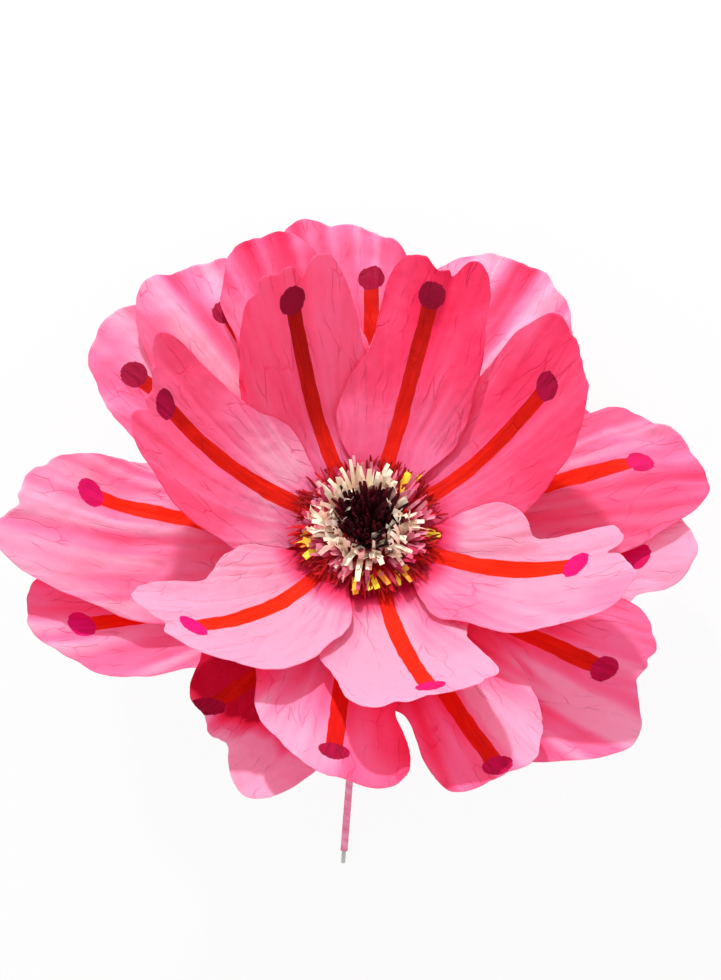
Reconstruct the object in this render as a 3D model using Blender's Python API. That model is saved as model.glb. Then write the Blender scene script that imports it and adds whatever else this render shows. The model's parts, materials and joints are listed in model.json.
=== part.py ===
"""Giant paper flower on a wrapped stem, lying on its side as it comes to rest.

Seven cupped inner petals and fourteen flatter outer ones are glued round a rolled paper hub. Each has
a wire along its back. Rings of cut paper fringe fill the middle, and a bent wire in pink paper is the stem.
The flower is worked out in its own frame, whose +Z is the way the flower faces, and is then laid down.
"""

import math

import bmesh
import bpy
import numpy as np
from mathutils import Matrix, Vector

MM = 0.001

# Driving dimensions of the paper and the wires
PAPER = 0.8 * MM
GLUE_GAP = 0.3 * MM
LAYER_PITCH = 4.0 * MM
WIRE_RADIUS = 0.8 * MM
WIRE_GAP = 0.55 * MM
WIRE_START_SHARE = 0.25
WIRE_SIDES = 5

# Hub, backing disc and stem
HUB_RADIUS = 18 * MM
BACKING_RADIUS = 24 * MM
CARD_THICKNESS = 1.5 * MM
STEM_CORE_RADIUS = 2.2 * MM
STEM_WRAP_RADIUS = 3.7 * MM
STEM_BARE_END = 14 * MM
STEM_LENGTH = 292 * MM
NECK_LENGTH = 70 * MM
STEM_ANGLE = 50
STEM_SIDE_ANGLE = 5.5
STEM_SIDES = 8
NECK_STEPS = 8
STRAIGHT_STEPS = 4

# Petals: where they start, and how the grids divide them
PETAL_START = HUB_RADIUS + GLUE_GAP
INNER_BASE = 9 * MM
CLAW_SHARE = 0.22
INNER_CLAW = 85 * MM
OUTER_CLAW = 130 * MM
SQUARENESS = 2.4
RIM_ANGLES = (20, 55, 90, 125, 160)
RIM_SPREAD = 20
PETAL_COLUMNS = 8
PETAL_ROWS = 8
STRIPE_WIDTH = 15 * MM
DOT_RADIUS = 13.5 * MM

# Fringe rings from the middle outwards: the glued band under the strips, and the steps a strip is bent in
FRINGE_BASE = 7 * MM
FRINGE_STEPS = 2
FRINGE_TAPER = 0.86
FRINGE_SEED = 7
SEAT_MARGIN = 11 * MM
TUFT_HOLE = 3 * MM
TUFT_WIDTH = 17 * MM
CREAM_WIDTH = 18 * MM
PINK_WIDTH = 9 * MM
GOLD_WIDTH = 7 * MM
RED_WIDTH = 9 * MM
FRINGE_RINGS = {
    "fringe_maroon": dict(width=TUFT_WIDTH, rows=2, strips=9, length=30 * MM, lean=10, curl=8),
    "fringe_cream": dict(width=CREAM_WIDTH, rows=2, strips=17, length=32 * MM, lean=22, curl=30),
    "fringe_pink": dict(width=PINK_WIDTH, rows=1, strips=20, length=28 * MM, lean=52, curl=24),
    "fringe_gold": dict(width=GOLD_WIDTH, rows=1, strips=22, length=20 * MM, lean=84, curl=20),
    "fringe_red": dict(width=RED_WIDTH, rows=1, strips=24, length=12 * MM, lean=130, curl=12),
}

# The way that the flower lies: its face leans this far from straight up before it settles
LEAN = 25
SETTLING_STEPS = 4

# Each petal: direction, reach from the axis, width, slope at the base and at the tip, sideways bow of the
# tip, rise of the sides, distance of the dot, and five pushes of the rim, from its right side round the tip
# to its left. Lengths are in millimetres and angles in degrees.
INNER_PETALS = {
    "petal_inner_1": (118, 223, 150, 2, 54, -34, 12, 203, (-10, 5, 0, 4, -10)),
    "petal_inner_3": (27, 230, 142, 4, 54, 24, 12, 197, (5, -2, -2, 9, -10)),
    "petal_inner_5": (-78, 213, 150, -4, 57, 13, 10, 203, (0, 28, 6, 17, -18)),
    "petal_inner_7": (163, 222, 128, -8, 58, -28, 12, 202, (-6, 18, -10, 12, 12)),
    "petal_inner_2": (73, 257, 126, 11, 40, 3, 12, 221, (2, 10, -15, 1, -20)),
    "petal_inner_4": (-26, 242, 126, -4, 52, 36, 12, 199, (18, 34, -9, -8, -32)),
    "petal_inner_6": (-133, 227, 134, -4, 55, -26, 12, 203, (-14, 12, 2, 2, 12)),
}
OUTER_PETALS = {
    "petal_outer_a": (145, 329, 158, 7, 10, 0, 12, 279, (0, 18, 2, -20, -20)),
    "petal_outer_d": (88, 330, 196, 6, 4, 7, 12, 278, (0, -20, 4, 32, 12)),
    "petal_outer_f": (34, 250, 160, 0, 12, 0, 12, 215, (0, 0, 0, 0, 0)),
    "petal_outer_h": (-10, 306, 169, -8, 28, 4, 12, 256, (-12, -34, 2, 2, 0)),
    "petal_outer_n": (-154, 317, 159, -10, 37, -18, 12, 283, (0, 8, 8, 0, -14)),
    "petal_outer_l": (-115, 286, 166, -12, 36, -28, 12, 262, (-8, -34, -34, 30, 0)),
    "petal_outer_i": (-36, 310, 192, -18, 38, 15, 12, 261, (34, 36, -19, -10, -22)),
    "petal_outer_b": (122, 329, 190, 4, 12, 0, 12, 272, (4, 4, -3, 18, 0)),
    "petal_outer_e": (60, 331, 192, 5, 5, -2, 12, 270, (-2, -4, 7, 1, 0)),
    "petal_outer_g": (15, 321, 176, -7, 18, 5, 12, 269, (10, 22, 0, -14, -34)),
    "petal_outer_j": (-68, 299, 140, -1, 42, 8, 12, 281, (-24, 10, -7, 0, 0)),
    "petal_outer_k": (-100, 283, 158, 4, 47, 19, 12, 249, (0, -10, -5, 18, -26)),
    "petal_outer_m": (182, 318, 177, -8, 42, -17, 12, 268, (-26, -14, -3, 36, 18)),
    "petal_outer_c": (112, 330, 144, 6, 4, 0, 12, 276, (0, 9, -4, -14, -22)),
}


class Petal:
    """One petal as a height over the flower's plan: rho runs out along it, tau across it to its left."""

    def __init__(self, row, base, claw):
        direction, reach, width, slope, tip_slope, bow, cup, dot, rim = row
        self.direction = math.radians(direction)
        self.reach = reach * MM
        self.half_width = width * MM / 2
        self.slope = math.tan(math.radians(slope))
        self.tip_slope = math.tan(math.radians(tip_slope))
        self.bow = bow * MM
        self.cup = cup * MM
        self.dot = dot * MM
        self.rim = [push * MM for push in rim]
        self.base = base
        self.claw = claw
        self.half_length = (self.reach - PETAL_START) / 2
        self.middle = (self.reach + PETAL_START) / 2
        self.lift = None

    def taper(self, along):
        """Share of the full width: a narrow claw at the hub that opens to the whole width."""
        opened = np.clip((along + 1) * self.half_length / self.claw, 0, 1)
        return CLAW_SHARE + (1 - CLAW_SHARE) * opened**2 * (3 - 2 * opened)

    def rim_push(self, turn):
        """How far the rim stands out or in at an angle round the blade, where 90 degrees is the tip."""
        pushed = np.zeros_like(turn)
        for angle, push in zip(RIM_ANGLES, self.rim):
            away = (turn - math.radians(angle) + math.pi) % (2 * math.pi) - math.pi
            pushed += push * np.exp(-((away / math.radians(RIM_SPREAD)) ** 2))
        return pushed

    def plan(self, across, along):
        """Point of the blade in plan for a point of the square grid from -1 to 1 each way."""
        disc_x = across * np.sqrt(1 - along**2 / 2)
        disc_y = along * np.sqrt(1 - across**2 / 2)
        turn = np.arctan2(disc_y, disc_x)
        share = np.hypot(disc_x, disc_y)
        disc_x, disc_y = disc_x * square_round(turn), disc_y * square_round(turn)
        push = self.rim_push(turn) * share**2
        rho = self.middle + self.half_length * disc_y + push * np.sin(turn)
        tau = -(disc_x * self.taper(disc_y) * self.half_width + push * np.cos(turn))
        return rho, tau + self.side(rho)

    def side(self, rho):
        return self.bow * self.length_share(rho) ** 2

    def length_share(self, rho):
        return (rho - PETAL_START) / (self.reach - PETAL_START)

    def place(self, rho, tau):
        cos, sin = math.cos(self.direction), math.sin(self.direction)
        return rho * cos - tau * sin, rho * sin + tau * cos

    def own_frame(self, x, y):
        cos, sin = math.cos(self.direction), math.sin(self.direction)
        return x * cos + y * sin, y * cos - x * sin

    def free_height(self, rho, tau):
        """Height with nothing under it: a slope that changes evenly along the petal, and raised sides."""
        share = self.length_share(rho)
        length = self.reach - PETAL_START
        along = length * (self.slope * share + (self.tip_slope - self.slope) * share**2 / 2)
        side = (tau - self.side(rho)) / self.half_width
        return self.base + along + self.cup * side**2 * np.clip(1.5 * share, 0, 1)

    def blade_share(self, rho, tau):
        """0 at the middle of the blade and 1 at its rim."""
        disc_y = (rho - self.middle) / self.half_length
        disc_x = -(tau - self.side(rho)) / (self.half_width * self.taper(disc_y))
        turn = np.arctan2(disc_y, disc_x)
        return np.hypot(disc_x, disc_y) / square_round(turn) - self.rim_push(turn) / self.half_width

    def height(self, rho, tau):
        return self.free_height(rho, tau) + read_map(self.lift, *self.place(rho, tau))


def square_round(turn):
    """Radius of a rounded square, between a circle and a square, at an angle round it."""
    power = SQUARENESS
    return (np.abs(np.cos(turn)) ** power + np.abs(np.sin(turn)) ** power) ** (-1 / power)


# The pile: a map of how high the paper already lies, on which each petal is laid in turn
MAP_STEP = 4 * MM
MAP_HALF = 105
MAP_LINE = np.arange(-MAP_HALF, MAP_HALF + 1) * MAP_STEP
MAP_X, MAP_Y = np.meshgrid(MAP_LINE, MAP_LINE, indexing="ij")
EDGE_MARGIN = 0.16
SPREAD_CELLS = 5
NOTHING = -1.0


def read_map(values, x, y):
    """Value of a map at any points, by blending its four nearest cells."""
    column = np.clip(x / MAP_STEP + MAP_HALF, 0, 2 * MAP_HALF - 1e-6)
    row = np.clip(y / MAP_STEP + MAP_HALF, 0, 2 * MAP_HALF - 1e-6)
    i, j = column.astype(int), row.astype(int)
    u, v = column - i, row - j
    near = values[i, j] * (1 - u) + values[i + 1, j] * u
    far = values[i, j + 1] * (1 - u) + values[i + 1, j + 1] * u
    return near * (1 - v) + far * v


def spread_and_soften(values):
    """Widen what is lifted by a few cells, then blur it by as many, so that it stays high enough."""
    steps = range(-SPREAD_CELLS, SPREAD_CELLS + 1)
    for combine in (np.max, np.mean):
        for axis in (0, 1):
            values = combine([np.roll(values, step, axis) for step in steps], axis=0)
    return values


def lay_petals(rows, base, claw, pile):
    """Lay petals on the pile in their order, each lifted clear of what is already there."""
    laid = {}
    for name, row in rows.items():
        petal = Petal(row, base, claw)
        rho, tau = petal.own_frame(MAP_X, MAP_Y)
        free = petal.free_height(rho, tau)
        zone = (petal.blade_share(rho, tau) < 1 + EDGE_MARGIN) & (rho > PETAL_START - MAP_STEP)
        needed = np.where(zone & (pile > NOTHING), np.maximum(pile + LAYER_PITCH - free, 0), 0)
        petal.lift = spread_and_soften(needed)
        pile = np.where(zone, np.maximum(pile, free + petal.lift), pile)
        laid[name] = petal
    return laid, pile


def mesh_object(name, vertices, faces, material):
    """A named object with an outward-facing closed mesh."""
    mesh = bpy.data.meshes.new(name)
    mesh.from_pydata([tuple(v) for v in vertices], [], faces)
    mesh.materials.append(material)
    shell = bmesh.new()
    shell.from_mesh(mesh)
    bmesh.ops.recalc_face_normals(shell, faces=shell.faces)
    shell.to_mesh(mesh)
    shell.free()
    mesh.shade_smooth()
    mesh.set_sharp_from_angle(angle=math.radians(40))
    made = bpy.data.objects.new(name, mesh)
    bpy.context.collection.objects.link(made)
    return made


def paper_material(name, colour, roughness=0.75):
    material = bpy.data.materials.new(name)
    material.use_nodes = True
    shader = material.node_tree.nodes["Principled BSDF"]
    shader.inputs["Base Color"].default_value = (*colour, 1)
    shader.inputs["Roughness"].default_value = roughness
    material.diffuse_color = (*colour, 1)
    return material


def petal_columns(petal, along):
    """Places across the petal: its middle line, both edges of the painted stripe, and even steps to the rim."""
    half = PETAL_COLUMNS // 2
    stripe = np.minimum(STRIPE_WIDTH / 2 / (petal.half_width * petal.taper(along)), 1 / half)
    step = np.arange(-half, half + 1)
    away = stripe[:, None] + (1 - stripe[:, None]) * (np.abs(step) - 1) / (half - 1)
    return np.where(step == 0, 0, np.sign(step) * away)


def petal_grid(petal):
    """Top points of a petal as rows from the hub to the tip, each row from its right side to its left."""
    along = np.linspace(-1, 1, PETAL_ROWS + 1)
    across = petal_columns(petal, along)
    rho, tau = petal.plan(across, np.broadcast_to(along[:, None], across.shape))
    x, y = petal.place(rho, tau)
    return np.stack([x, y, petal.height(rho, tau)], axis=-1)


def grid_normals(points):
    """Upward unit normals of a grid of points."""
    along = np.gradient(points, axis=0)
    across = np.gradient(points, axis=1)
    normals = np.cross(across, along)
    normals *= np.sign(normals[..., 2:3])
    return normals / np.linalg.norm(normals, axis=-1, keepdims=True)


def build_petal(name, petal, materials):
    """The petal's sheet, with the painted stripe and dot as faces of their own colour.

    The grid's four corner cells lie along the round rim, so they are split through the corner, which leaves
    no sliver of a triangle there. Both sides of the sheet start their faces at the same corner, so that a
    twisted cell is split along the same diagonal above and below.
    """
    top = petal_grid(petal)
    under = top - grid_normals(top) * PAPER
    rows, columns = top.shape[:2]
    count = rows * columns

    def index(row, column, side=0):
        return row * columns + column + side * count

    border = [(0, c) for c in range(columns)]
    border += [(r, columns - 1) for r in range(1, rows)]
    border += [(rows - 1, c) for c in range(columns - 2, -1, -1)]
    border += [(r, 0) for r in range(rows - 2, 0, -1)]
    def cell_face(r, c):
        return [index(r, c), index(r, c + 1), index(r + 1, c + 1), index(r + 1, c)]

    corners = [(0, 0), (0, columns - 2), (rows - 2, columns - 2), (rows - 2, 0)]
    cells = [(r, c) for r in range(rows - 1) for c in range(columns - 1) if (r, c) not in corners]
    faces = [cell_face(r, c) for r, c in cells]
    for turn, (r, c) in enumerate(corners):
        face = cell_face(r, c)[turn:] + cell_face(r, c)[:turn]
        faces += [face[:3], [face[0], *face[2:]]]
    faces += [[corner + count for corner in (face[0], *reversed(face[1:]))] for face in faces]
    for this, after in zip(border, border[1:] + border[:1]):
        faces.append([index(*after), index(*this), index(*this, 1), index(*after, 1)])
    made = mesh_object(name, np.concatenate([top.reshape(-1, 3), under.reshape(-1, 3)]), faces, materials["petal"])
    made.data.materials.append(materials["stripe"])
    made.data.materials.append(materials["dot"])
    distance = np.hypot(top[:, columns // 2, 0], top[:, columns // 2, 1])
    dot_row = int(np.searchsorted(distance, petal.dot + DOT_RADIUS)) - 1
    for polygon, (r, c) in zip(made.data.polygons, cells):
        if c in (columns // 2 - 1, columns // 2) and r <= dot_row:
            polygon.material_index = 2 if r == dot_row else 1
    return made


def tube(path, radius, sides, inner_radius=0):
    """Vertices and faces of a round rod along a path, or of a pipe if it has an inner radius."""
    path = np.asarray(path, dtype=float)
    tangents = np.gradient(path, axis=0)
    tangents /= np.linalg.norm(tangents, axis=1, keepdims=True)
    side = np.cross(tangents[0], (0, 0, 1))
    if np.linalg.norm(side) < 0.1:
        side = np.cross(tangents[0], (0, 1, 0))
    vertices, rings = [], []
    for point, tangent in zip(path, tangents):
        side = side - tangent * np.dot(side, tangent)
        side /= np.linalg.norm(side)
        other = np.cross(tangent, side)
        rings.append((point, side.copy(), other))
    turns = [2 * math.pi * k / sides for k in range(sides)]
    radii = [radius, inner_radius] if inner_radius else [radius]
    for ring_radius in radii:
        for point, first, second in rings:
            for turn in turns:
                vertices.append(point + ring_radius * (math.cos(turn) * first + math.sin(turn) * second))
    stations = len(path)
    skin = stations * sides
    faces = []
    for layer in range(len(radii)):
        for s in range(stations - 1):
            for k in range(sides):
                a = layer * skin + s * sides + k
                b = layer * skin + s * sides + (k + 1) % sides
                face = [a, b, b + sides, a + sides]
                faces.append(face if layer == 0 else face[::-1])
    ends = (0, (stations - 1) * sides)
    for end in ends:
        if inner_radius:
            for k in range(sides):
                a, b = end + k, end + (k + 1) % sides
                faces.append([a, b, b + skin, a + skin])
        else:
            faces.append([end + k for k in range(sides)])
    return vertices, faces


def build_wire(name, petal, material):
    """The wire glued along the back of a petal, under its middle column, from the hub to the dot."""
    top = petal_grid(petal)
    middle = PETAL_COLUMNS // 2
    line = top[:, middle] - grid_normals(top)[:, middle] * (PAPER + WIRE_GAP + WIRE_RADIUS)
    distance = np.hypot(line[:, 0], line[:, 1])
    path = line[distance <= petal.dot + DOT_RADIUS]
    path[0] += (path[1] - path[0]) * WIRE_START_SHARE
    vertices, faces = tube(path, WIRE_RADIUS, WIRE_SIDES)
    return mesh_object(name, vertices, faces, material)


def build_disc(name, inner, outer, bottom, thickness, material, sides=28):
    """A flat ring of card or a rolled paper core round the flower's axis."""
    turns = [2 * math.pi * k / sides for k in range(sides)]
    vertices = []
    for radius, z in ((inner, bottom), (outer, bottom), (outer, bottom + thickness), (inner, bottom + thickness)):
        vertices += [(radius * math.cos(t), radius * math.sin(t), z) for t in turns]
    faces = []
    for band in range(4):
        for k in range(sides):
            a, b = band * sides + k, band * sides + (k + 1) % sides
            c, d = ((band + 1) % 4) * sides + (k + 1) % sides, ((band + 1) % 4) * sides + k
            faces.append([a, b, c, d])
    return mesh_object(name, vertices, faces, material)


def build_fringe(name, ring, inner, outer, bottom, seed, material):
    """A ring of fringe: a glued band at the bottom, and cut strips that stand on it in staggered rows."""
    draw = np.random.default_rng(FRINGE_SEED + seed)
    sectors = 2 * ring["strips"]
    bands = 2 * ring["rows"] + 1
    shell = bmesh.new()

    def circle(radius, z):
        turns = [2 * math.pi * k / sectors for k in range(sectors)]
        return [shell.verts.new((radius * math.cos(t), radius * math.sin(t), z)) for t in turns]

    upper = [circle(radius, bottom + FRINGE_BASE) for radius in np.linspace(inner, outer, bands + 1)]
    lower = [circle(outer, bottom), circle(inner, bottom)]
    rings = upper + lower
    roots = []
    for band, (near, far) in enumerate(zip(rings, rings[1:] + rings[:1])):
        for k in range(sectors):
            after = (k + 1) % sectors
            face = shell.faces.new((near[k], far[k], far[after], near[after]))
            row = band // 2
            if band < bands and band % 2 == 1 and (k + row) % 2 == 0:
                roots.append((face, (row + 0.5) / ring["rows"], 2 * math.pi * (k + 0.5) / sectors))
    for face, share, turn in roots:
        tall = ring["length"] * draw.uniform(0.8, 1.0)
        outward = Vector((math.cos(turn), math.sin(turn), 0))
        aside = Vector((-math.sin(turn), math.cos(turn), 0)) * draw.uniform(-0.12, 0.12)
        for step in range(FRINGE_STEPS):
            face = bmesh.ops.extrude_discrete_faces(shell, faces=[face])["faces"][0]
            angle = math.radians(ring["lean"] * share + ring["curl"] * (step + 0.5) / FRINGE_STEPS)
            heading = outward * math.sin(angle) + Vector((0, 0, math.cos(angle))) + aside
            bmesh.ops.translate(shell, verts=face.verts, vec=heading.normalized() * tall / FRINGE_STEPS)
            centre = face.calc_center_median()
            for vertex in face.verts:
                vertex.co = centre + (vertex.co - centre) * FRINGE_TAPER
    bmesh.ops.recalc_face_normals(shell, faces=shell.faces)
    mesh = bpy.data.meshes.new(name)
    shell.to_mesh(mesh)
    shell.free()
    mesh.materials.append(material)
    made = bpy.data.objects.new(name, mesh)
    bpy.context.collection.objects.link(made)
    return made


def stem_line(heights):
    """Points down the stem: from the given heights on the axis, round the bent neck and then straight."""
    points = [Vector((0, 0, z)) for z in heights]
    steps = [(k + 0.5) / NECK_STEPS for k in range(NECK_STEPS)]
    runs = [(share, NECK_LENGTH / NECK_STEPS) for share in steps]
    runs += [(1, (STEM_LENGTH - STEM_BARE_END) / STRAIGHT_STEPS)] * STRAIGHT_STEPS
    runs.append((1, STEM_BARE_END))
    sideways = math.radians(STEM_SIDE_ANGLE)
    for share, length in runs:
        bend = math.radians(STEM_ANGLE) * share
        across = math.sin(bend)
        heading = Vector((-across * math.sin(sideways), -across * math.cos(sideways), -math.cos(bend)))
        points.append(points[-1] + heading * length)
    return points


def heights_near_axis(objects, radius):
    """Lowest and highest point of some pieces within a distance of the flower's axis."""
    points = np.array([tuple(vertex.co) for made in objects for vertex in made.data.vertices])
    near = points[np.hypot(points[:, 0], points[:, 1]) < radius]
    return near[:, 2].min(), near[:, 2].max()


def build_petals(materials):
    """All petals with their wires, the outer ones first because the inner ones lie on them."""
    pile = np.full(MAP_X.shape, NOTHING)
    made = []
    for rows, base, claw in ((OUTER_PETALS, 0, OUTER_CLAW), (INNER_PETALS, INNER_BASE, INNER_CLAW)):
        laid, pile = lay_petals(rows, base, claw, pile)
        for name, petal in laid.items():
            made.append(build_petal(name, petal, materials))
            made.append(build_wire(name.replace("petal", "wire"), petal, materials["wire"]))
    return made


def build_middle(petals, materials):
    """The hub that the petals are glued round, the card behind them and the fringe in front."""
    under, _ = heights_near_axis(petals, BACKING_RADIUS + SEAT_MARGIN)
    _, hub_top = heights_near_axis(petals, HUB_RADIUS + SEAT_MARGIN)
    card_top = under - GLUE_GAP
    hub_bottom = card_top + GLUE_GAP
    hub_height = hub_top - hub_bottom
    core_hole = STEM_CORE_RADIUS + GLUE_GAP
    wrap_hole = STEM_WRAP_RADIUS + GLUE_GAP
    card_bottom = card_top - CARD_THICKNESS
    made = [
        build_disc("hub_core", core_hole, HUB_RADIUS, hub_bottom, hub_height, materials["core"]),
        build_disc("backing_card", wrap_hole, BACKING_RADIUS, card_bottom, CARD_THICKNESS, materials["backing"]),
    ]
    inner = TUFT_HOLE
    for seed, (name, ring) in enumerate(FRINGE_RINGS.items()):
        outer = inner + ring["width"]
        _, seat = heights_near_axis(petals, outer + SEAT_MARGIN)
        bottom = max(seat, hub_top) + GLUE_GAP
        made.append(build_fringe(name, ring, inner, outer, bottom, seed, materials[name]))
        inner = outer + GLUE_GAP
    line = stem_line((hub_top, hub_bottom - GLUE_GAP, card_bottom))
    made.append(mesh_object("stem_core", *tube(line, STEM_CORE_RADIUS, STEM_SIDES), materials["core_wire"]))
    wrap_hollow = core_hole / math.cos(math.pi / STEM_SIDES)
    wrap = tube(line[1:-1], STEM_WRAP_RADIUS, STEM_SIDES, wrap_hollow)
    made.append(mesh_object("stem_wrap", *wrap, materials["wrap"]))
    return made


def weight_centre(objects):
    """Centre of the volume of all the pieces together."""
    total, moment = 0.0, Vector((0, 0, 0))
    for made in objects:
        made.data.calc_loop_triangles()
        vertices = made.data.vertices
        for triangle in made.data.loop_triangles:
            a, b, c = (vertices[i].co for i in triangle.vertices)
            volume = a.dot(b.cross(c)) / 6
            total += volume
            moment += volume * (a + b + c) / 4
    return moment / total


def resting_turn(objects):
    """Turn and move that lay the flower down: on the face of its hull that its weight passes through."""
    centre = weight_centre(objects)
    hull = bmesh.new()
    for made in objects:
        for vertex in made.data.vertices:
            hull.verts.new(vertex.co)
    bmesh.ops.convex_hull(hull, input=hull.verts, use_existing_faces=False)
    turn = Matrix.Rotation(math.radians(-LEAN), 4, "X")
    for _ in range(SETTLING_STEPS):
        down = turn.to_3x3().inverted() @ Vector((0, 0, -1))
        rest = next(face for face in hull.faces if passes_through(face, centre, down))
        facing = turn.to_3x3() @ rest.normal
        turn = facing.rotation_difference(Vector((0, 0, -1))).to_matrix().to_4x4() @ turn
    hull.free()
    return turn


def passes_through(face, centre, down):
    """Whether the line down from a point leaves through a face of the hull."""
    corners = [vertex.co - centre for vertex in face.verts]
    pairs = zip(corners, corners[1:] + corners[:1])
    return face.normal.dot(down) > 0 and all(this.cross(after).dot(down) >= 0 for this, after in pairs)


def make_materials():
    """Paper, card and wire in the colours of the real thing."""
    papers = {
        "petal": (1.0, 0.28, 0.48),
        "stripe": (0.90, 0.03, 0.0),
        "dot": (0.72, 0.0, 0.13),
        "wrap": (0.93, 0.38, 0.52),
        "backing": (0.95, 0.35, 0.50),
        "core": (0.90, 0.62, 0.66),
        "fringe_maroon": (0.05, 0.004, 0.012),
        "fringe_cream": (0.95, 0.86, 0.68),
        "fringe_pink": (0.80, 0.14, 0.27),
        "fringe_gold": (0.93, 0.62, 0.08),
        "fringe_red": (0.45, 0.01, 0.02),
    }
    materials = {name: paper_material(name + "_paper", colour) for name, colour in papers.items()}
    materials["wire"] = paper_material("white_covered_wire", (0.85, 0.80, 0.78))
    materials["core_wire"] = paper_material("galvanised_rod", (0.62, 0.60, 0.58), 0.35)
    materials["core_wire"].node_tree.nodes["Principled BSDF"].inputs["Metallic"].default_value = 1
    return materials


def lay_down(objects):
    """Turn the whole flower to its resting pose, with its lowest point at zero and its middle on the axis."""
    carrier = bpy.data.objects.new("resting_flower", None)
    bpy.context.collection.objects.link(carrier)
    turn = resting_turn(objects)
    points = np.array([tuple(turn @ vertex.co) for made in objects for vertex in made.data.vertices])
    low, high = points.min(axis=0), points.max(axis=0)
    shift = Vector((-(low[0] + high[0]) / 2, -(low[1] + high[1]) / 2, -low[2]))
    carrier.matrix_world = Matrix.Translation(shift) @ turn
    for made in objects:
        made.parent = carrier


def main():
    for old in list(bpy.data.objects):
        bpy.data.objects.remove(old, do_unlink=True)
    materials = make_materials()
    petals = build_petals(materials)
    lay_down(petals + build_middle(petals, materials))


main()
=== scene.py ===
# %% [markdown]
# This lesson dresses a giant paper flower. The construction is already there as plain solids, and this
# file gives it crinkled paper, painted stripes and a fringe of cut strips. The first step loads those
# solids and keeps their box, because the finished flower has to fill the same space.

# %% Load the frame
import json
import math
from functools import partial

import bpy
import numpy as np
from mathutils import Matrix, Vector


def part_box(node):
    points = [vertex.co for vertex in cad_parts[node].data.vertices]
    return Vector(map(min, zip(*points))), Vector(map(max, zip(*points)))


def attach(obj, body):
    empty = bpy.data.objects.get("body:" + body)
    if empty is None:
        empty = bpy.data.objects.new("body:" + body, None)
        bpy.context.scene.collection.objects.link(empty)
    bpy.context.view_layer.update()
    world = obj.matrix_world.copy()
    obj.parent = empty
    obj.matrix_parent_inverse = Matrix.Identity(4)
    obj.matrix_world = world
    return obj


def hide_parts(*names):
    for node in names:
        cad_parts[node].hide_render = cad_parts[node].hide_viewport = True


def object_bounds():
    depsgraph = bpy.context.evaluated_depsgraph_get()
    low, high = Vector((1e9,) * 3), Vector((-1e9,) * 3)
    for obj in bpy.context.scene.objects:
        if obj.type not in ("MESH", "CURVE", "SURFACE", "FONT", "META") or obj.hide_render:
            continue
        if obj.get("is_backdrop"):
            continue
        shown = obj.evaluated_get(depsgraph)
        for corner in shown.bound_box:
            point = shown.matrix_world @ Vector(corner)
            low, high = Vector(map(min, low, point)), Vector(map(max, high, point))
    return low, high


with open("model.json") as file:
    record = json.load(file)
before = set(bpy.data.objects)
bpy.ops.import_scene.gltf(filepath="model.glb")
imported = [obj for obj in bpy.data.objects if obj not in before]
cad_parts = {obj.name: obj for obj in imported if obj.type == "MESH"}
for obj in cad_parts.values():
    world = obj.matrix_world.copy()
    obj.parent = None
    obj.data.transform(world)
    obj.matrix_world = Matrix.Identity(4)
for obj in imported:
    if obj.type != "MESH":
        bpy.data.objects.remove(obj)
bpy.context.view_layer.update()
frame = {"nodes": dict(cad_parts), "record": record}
MM = 0.001

# %% [markdown]
# The flower lies on its side, so its own axes are tilted in the room. Its face points along its own Z
# axis and the stem leans to one known side of its own -Y axis. The two mounts of the part give both
# directions, and from them the whole frame of the flower follows with two cross products.

# %% Find the flower's own axes
STEM_SIDE_ANGLE = math.radians(5.5)
# Where the card's mount lies in the flower's own axes.
CARD_POINT = Vector((14, 0, -3.5)) * MM


def flower_frame():
    """Matrix from the flower's own axes to the room."""
    mounts = {mount["name"]: mount for mount in frame["record"]["mounts"]}
    facing = -Vector(mounts["card_back"]["axis"]).normalized()
    stem = Vector(mounts["stem_end"]["axis"])
    down = (stem - facing * stem.dot(facing)).normalized()
    aside = facing.cross(down)
    sine, cosine = math.sin(STEM_SIDE_ANGLE), math.cos(STEM_SIDE_ANGLE)
    x_axis = cosine * aside - sine * down
    y_axis = -cosine * down - sine * aside
    turn = Matrix((x_axis, y_axis, facing)).transposed()
    origin = Vector(mounts["card_back"]["pos_m"]) - turn @ CARD_POINT
    return Matrix.Translation(origin) @ turn.to_4x4()


FLOWER = flower_frame()
FLOWER_TURN = np.array(FLOWER)[:3, :3]
FLOWER_ORIGIN = np.array(FLOWER)[:3, 3]
print("flower's middle in mm:", [round(float(c / MM), 1) for c in FLOWER_ORIGIN])


def to_room(points):
    """Points of the flower's own frame as points of the room."""
    return points @ FLOWER_TURN.T + FLOWER_ORIGIN


# %% [markdown]
# The camera comes first, because every later choice is judged through it. It looks at the flower from in
# front and a little above its face, with a long lens, so that near petals aren't enlarged.


# %% Camera
def new_object(name, data):
    """An object of the scene from its mesh, lamp or camera."""
    made = bpy.data.objects.new(name, data)
    bpy.context.collection.objects.link(made)
    return made


VIEW_TILT = math.radians(25)
CAMERA_DISTANCE = 1900 * MM
CAMERA_ASIDE = -6.3 * MM
CAMERA_UP = 48.3 * MM
LENS = 72.3

view_right = FLOWER.to_3x3() @ Vector((1, 0, 0))
view_up = FLOWER.to_3x3() @ Vector((0, math.cos(VIEW_TILT), math.sin(VIEW_TILT)))
view_back = FLOWER.to_3x3() @ Vector((0, -math.sin(VIEW_TILT), math.cos(VIEW_TILT)))


def in_view(right, up, back):
    """A direction or an offset in the room from its parts across, up and towards the camera."""
    return view_right * right + view_up * up + view_back * back


camera = new_object("camera", bpy.data.cameras.new("camera"))
camera.data.lens = LENS
camera.data.clip_end = 20
camera_place = FLOWER.translation + in_view(CAMERA_ASIDE, CAMERA_UP, CAMERA_DISTANCE)
camera_turn = Matrix((view_right, view_up, view_back)).transposed().to_4x4()
camera.matrix_world = Matrix.Translation(camera_place) @ camera_turn
bpy.context.scene.camera = camera
print("camera is", round(camera_place.z, 2), "m above the floor")

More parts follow.
